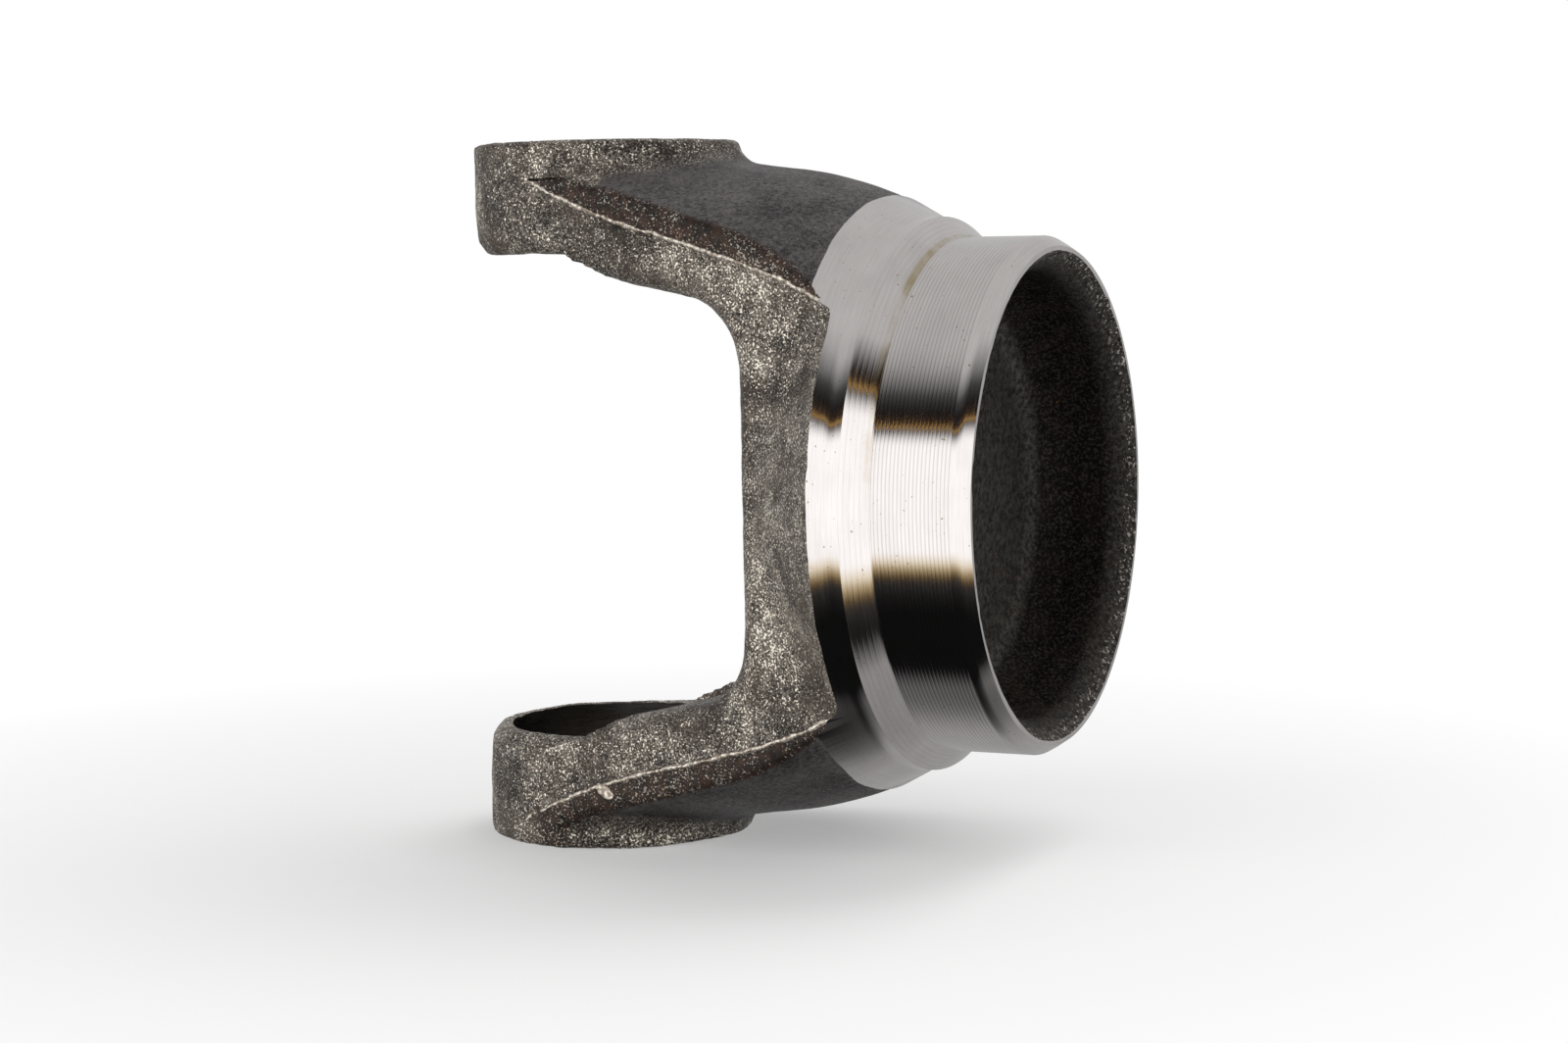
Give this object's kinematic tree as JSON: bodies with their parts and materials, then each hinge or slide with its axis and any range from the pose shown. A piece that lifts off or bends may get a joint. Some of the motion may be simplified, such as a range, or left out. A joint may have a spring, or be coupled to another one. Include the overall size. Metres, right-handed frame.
{
  "type": "forged weld yoke",
  "caption": "Forged driveshaft weld yoke: paired ears with cross bores for a universal joint, a solid web, and a turned, hollow tube seat with a weld bevel.",
  "frame": {"origin": "joint centre: the tube axis crosses the cross-bore axis, midway between the ears", "axes": "+Z along the cross bores, +X along the tube axis towards the open mouth, +Y completes the right hand and crosses the web"},
  "size_m": [0.0748, 0.067, 0.085],
  "materials": {
    "forged_steel": "shot-blasted forging scale, with bores, ear faces and tube seat machined bright"
  },
  "bodies": {
    "root": {"yoke": "forged_steel"}
  },
  "joints": []
}
